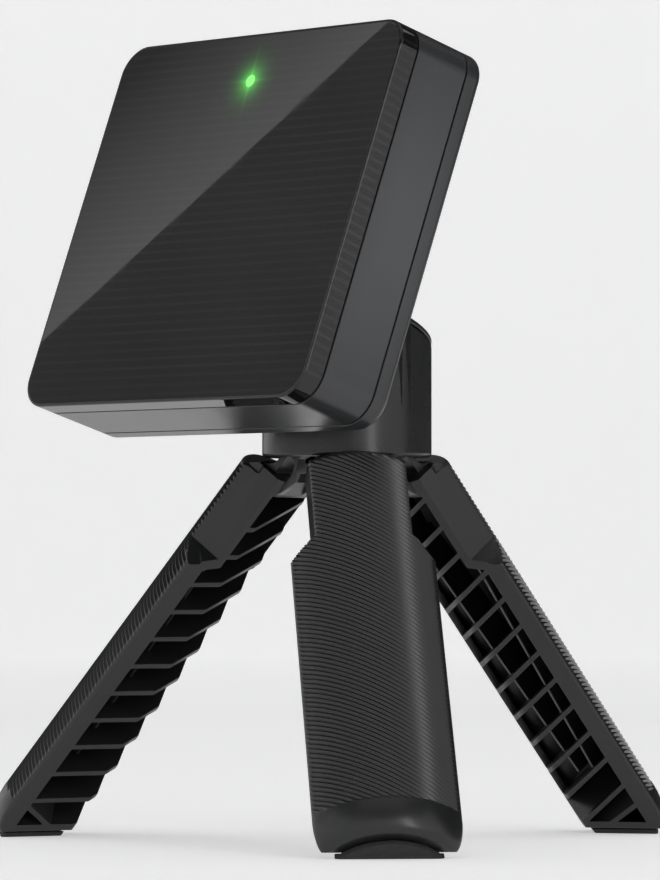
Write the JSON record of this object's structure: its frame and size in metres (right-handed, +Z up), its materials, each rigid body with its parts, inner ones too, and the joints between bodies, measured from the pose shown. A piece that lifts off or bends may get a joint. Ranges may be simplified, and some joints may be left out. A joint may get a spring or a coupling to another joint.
{
  "type": "golf launch monitor on a mini tripod",
  "caption": "Flat radar launch monitor, glossy front and satin shell, leaning back on a mini tripod with a round head and ribbed folding legs.",
  "frame": {"origin": "middle of the bounding box, on the surface that the feet stand on", "axes": "+Z up, the monitor's front faces -Y, +X to the right seen from the front"},
  "size_m": [0.144, 0.1338, 0.1674],
  "materials": {
    "gloss_front": "high gloss black with fine lines",
    "satin_body": "fine satin",
    "head_plastic": "fine satin",
    "leg_plastic": "moulded, fine texture",
    "rubber": "matt",
    "silicone": "soft matt",
    "green_light": "lit green",
    "circuit_board": "solder mask",
    "tin_plate": "tin plated",
    "steel": "plain",
    "brass": "turned",
    "battery_wrap": "film",
    "cable_film": "film",
    "inner_plastic": "moulded"
  },
  "bodies": {
    "hub": {"leg_hub": "inner_plastic", "pan_bolt": "steel", "hinge_pin_right": "steel", "hinge_pin_back": "steel", "hinge_pin_left": "steel"},
    "head": {"head_body": "head_plastic", "head_cap": "head_plastic", "mount_pad": "rubber", "mount_magnet": "steel", "pan_washer": "steel", "pan_nut": "steel"},
    "monitor": {"front_cover": "gloss_front", "middle_frame": "satin_body", "rear_cover": "satin_body", "front_seal": "rubber", "rear_seal": "rubber", "light_pipe": "green_light", "antenna_board": "circuit_board", "antenna_shield": "tin_plate", "status_light": "green_light", "main_board": "circuit_board", "processor_shield": "tin_plate", "flat_cable": "cable_film", "battery_tray": "inner_plastic", "battery_pack": "battery_wrap", "thread_insert": "brass", "keeper_plate": "steel", "power_switch": "tin_plate", "charge_port": "tin_plate", "cover_screw_1": "steel", "cover_screw_2": "steel", "cover_screw_3": "steel", "cover_screw_4": "steel"},
    "power_button": {"power_button": "silicone"},
    "port_cap": {"port_cap": "silicone"},
    "leg_right": {"leg_right": "leg_plastic", "foot_pad_right": "rubber"},
    "leg_back": {"leg_back": "leg_plastic", "foot_pad_back": "rubber"},
    "leg_left": {"leg_left": "leg_plastic", "foot_pad_left": "rubber"}
  },
  "joints": [
    {"name": "head_pan", "type": "hinge", "parent": "hub", "child": "head", "pos_m": [0.00255, -0.01304, 0.085], "axis": [0, 0, 1], "continuous": true},
    {"name": "monitor_release", "type": "slide", "parent": "head", "child": "monitor", "axis": [0, -0.9345, 0.3559], "range_m": [0, 0.03]},
    {"name": "power_button_press", "type": "slide", "parent": "monitor", "child": "power_button", "axis": [1, 0, 0], "range_m": [0, 0.0004], "stiffness_N_per_m": 2500},
    {"name": "port_cap_hinge", "type": "hinge", "parent": "monitor", "child": "port_cap", "pos_m": [-0.04255, -0.04516, 0.10319], "axis": [0, -0.9345, 0.3559], "range_deg": [0, 100]},
    {"name": "leg_right_fold", "type": "hinge", "parent": "hub", "child": "leg_right", "pos_m": [0.0083, -0.01704, 0.08236], "axis": [0.5711, 0.8209, 0], "range_deg": [0, 38.8]},
    {"name": "leg_back_fold", "type": "hinge", "parent": "hub", "child": "leg_back", "pos_m": [0.00314, -0.00606, 0.08236], "axis": [-0.9964, 0.0842, 0], "range_deg": [0, 38.8]},
    {"name": "leg_left_fold", "type": "hinge", "parent": "hub", "child": "leg_left", "pos_m": [-0.00378, -0.01602, 0.08236], "axis": [0.4253, -0.9051, 0], "range_deg": [0, 38.8]}
  ]
}
